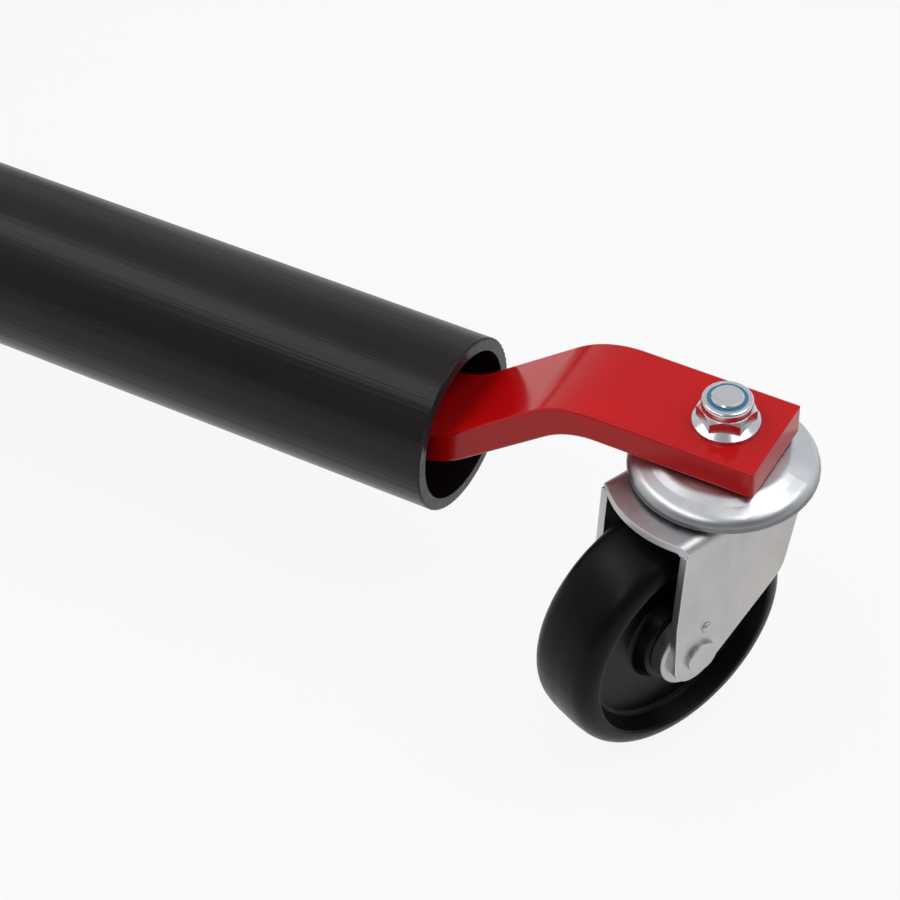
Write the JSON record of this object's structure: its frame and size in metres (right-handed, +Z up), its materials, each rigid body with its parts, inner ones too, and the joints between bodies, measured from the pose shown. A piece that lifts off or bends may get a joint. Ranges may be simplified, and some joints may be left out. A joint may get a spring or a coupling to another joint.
{
  "type": "vehicle positioning jack",
  "caption": "Wheel-lifting dolly: rollers on castored arms, drawn together under a tyre by a telescoping beam with a foot-pumped ram, pedal, release valve and lock pin.",
  "frame": {"origin": "on the floor, under the middle of the jack's bounding box at rest", "axes": "+X along the rollers to their free ends, +Y along the beam towards the sliding arm, +Z up"},
  "size_m": [0.8652, 0.7156, 0.2787],
  "materials": {
    "red_enamel": "gloss red enamel",
    "black_powder_coat": "satin black powder coat",
    "zinc_plate": "bright zinc plate on steel",
    "bright_steel": "plain turned steel",
    "hard_chrome": "hard chrome on a ground rod",
    "black_casting": "black paint on a sand casting",
    "wheel_plastic": "moulded black polypropylene",
    "blue_nylon": "blue nylon ring",
    "white_nylon": "oil-filled nylon bush",
    "black_plastic": "moulded black polyethylene",
    "black_rubber": "moulded ribbed rubber"
  },
  "bodies": {
    "frame": {"outer_beam": "red_enamel", "outer_beam_plug": "black_plastic", "fixed_front_bar": "red_enamel", "fixed_rear_bar": "red_enamel", "fixed_roller_axle": "bright_steel", "fixed_stems": "zinc_plate", "fixed_stem_nuts": "zinc_plate", "fixed_nut_inserts": "blue_nylon", "fixed_swivel_caps": "zinc_plate", "fixed_swivel_balls": "bright_steel", "pump_body": "black_casting", "pump_bolts": "zinc_plate", "ram_cylinder": "black_powder_coat", "gland_nut": "zinc_plate", "cylinder_brackets": "red_enamel", "pedal_pivot_pin": "bright_steel", "plunger_spring": "bright_steel"},
    "slider": {"inner_beam": "red_enamel", "inner_beam_plug": "black_plastic", "slide_head": "red_enamel", "sliding_front_bar": "red_enamel", "sliding_rear_bar": "red_enamel", "sliding_roller_axle": "bright_steel", "sliding_stems": "zinc_plate", "sliding_stem_nuts": "zinc_plate", "sliding_nut_inserts": "blue_nylon", "sliding_swivel_caps": "zinc_plate", "sliding_swivel_balls": "bright_steel", "piston_rod": "hard_chrome", "ram_piston": "bright_steel", "rod_pin": "bright_steel"},
    "fixed_roller": {"fixed_roller_tube": "black_powder_coat", "fixed_roller_bushes": "white_nylon"},
    "sliding_roller": {"sliding_roller_tube": "black_powder_coat", "sliding_roller_bushes": "white_nylon"},
    "pedal": {"pedal_arm": "red_enamel", "pedal_pad": "black_rubber"},
    "plunger": {"pump_plunger": "bright_steel"},
    "release_valve": {"release_valve": "zinc_plate"},
    "lock_pin": {"lock_pin": "zinc_plate"},
    "front_fixed_swivel": {"front_fixed_fork": "zinc_plate", "front_fixed_wheel_axle": "zinc_plate", "front_fixed_axle_washers": "zinc_plate"},
    "front_fixed_wheel": {"front_fixed_wheel": "wheel_plastic", "front_fixed_wheel_bush": "white_nylon"},
    "rear_fixed_swivel": {"rear_fixed_fork": "zinc_plate", "rear_fixed_wheel_axle": "zinc_plate", "rear_fixed_axle_washers": "zinc_plate"},
    "rear_fixed_wheel": {"rear_fixed_wheel": "wheel_plastic", "rear_fixed_wheel_bush": "white_nylon"},
    "front_sliding_swivel": {"front_sliding_fork": "zinc_plate", "front_sliding_wheel_axle": "zinc_plate", "front_sliding_axle_washers": "zinc_plate"},
    "front_sliding_wheel": {"front_sliding_wheel": "wheel_plastic", "front_sliding_wheel_bush": "white_nylon"},
    "rear_sliding_swivel": {"rear_sliding_fork": "zinc_plate", "rear_sliding_wheel_axle": "zinc_plate", "rear_sliding_axle_washers": "zinc_plate"},
    "rear_sliding_wheel": {"rear_sliding_wheel": "wheel_plastic", "rear_sliding_wheel_bush": "white_nylon"}
  },
  "joints": [
    {"name": "beam_slide", "type": "slide", "parent": "frame", "child": "slider", "axis": [0, 1, 0], "range_m": [-0.16, 0.08]},
    {"name": "fixed_roller_spin", "type": "hinge", "parent": "frame", "child": "fixed_roller", "pos_m": [0, -0.28, 0.084], "axis": [1, 0, 0], "continuous": true},
    {"name": "sliding_roller_spin", "type": "hinge", "parent": "slider", "child": "sliding_roller", "pos_m": [0, 0.28, 0.084], "axis": [1, 0, 0], "continuous": true},
    {"name": "pedal_press", "type": "hinge", "parent": "frame", "child": "pedal", "pos_m": [-0.27437, -0.205, 0.23074], "axis": [0, -1, 0], "range_deg": [0, 20], "stiffness_Nm_per_rad": 8, "springref_deg": -14.32},
    {"name": "plunger_stroke", "type": "slide", "parent": "frame", "child": "plunger", "axis": [0, 0, -1], "range_m": [0, 0.0115], "deforming": ["plunger_spring"]},
    {"name": "release_turn", "type": "hinge", "parent": "frame", "child": "release_valve", "pos_m": [-0.32637, -0.186, 0.153], "axis": [-1, 0, 0], "range_deg": [0, 90]},
    {"name": "lock_pin_drop", "type": "slide", "parent": "frame", "child": "lock_pin", "axis": [0, 0, -1], "range_m": [0, 0.022]},
    {"name": "front_fixed_swivel_turn", "type": "hinge", "parent": "frame", "child": "front_fixed_swivel", "pos_m": [0.39763, -0.28, 0.1107], "axis": [0, 0, 1], "continuous": true},
    {"name": "front_fixed_wheel_roll", "type": "hinge", "parent": "front_fixed_swivel", "child": "front_fixed_wheel", "pos_m": [0.3865, -0.30623, 0.05], "axis": [0.9205, -0.3907, 0], "continuous": true},
    {"name": "rear_fixed_swivel_turn", "type": "hinge", "parent": "frame", "child": "rear_fixed_swivel", "pos_m": [-0.26237, -0.28, 0.1107], "axis": [0, 0, 1], "continuous": true},
    {"name": "rear_fixed_wheel_roll", "type": "hinge", "parent": "rear_fixed_swivel", "child": "rear_fixed_wheel", "pos_m": [-0.25499, -0.30753, 0.05], "axis": [0.9659, 0.2588, 0], "continuous": true},
    {"name": "front_sliding_swivel_turn", "type": "hinge", "parent": "slider", "child": "front_sliding_swivel", "pos_m": [0.39763, 0.28, 0.1107], "axis": [0, 0, 1], "continuous": true},
    {"name": "front_sliding_wheel_roll", "type": "hinge", "parent": "front_sliding_swivel", "child": "front_sliding_wheel", "pos_m": [0.3865, 0.30623, 0.05], "axis": [-0.9205, -0.3907, 0], "continuous": true},
    {"name": "rear_sliding_swivel_turn", "type": "hinge", "parent": "slider", "child": "rear_sliding_swivel", "pos_m": [-0.26237, 0.28, 0.1107], "axis": [0, 0, 1], "continuous": true},
    {"name": "rear_sliding_wheel_roll", "type": "hinge", "parent": "rear_sliding_swivel", "child": "rear_sliding_wheel", "pos_m": [-0.25499, 0.30753, 0.05], "axis": [-0.9659, 0.2588, 0], "continuous": true}
  ],
  "couplings": [
    {"joint": "plunger_stroke", "follows": "pedal_press", "m_per_rad": 0.032}
  ]
}
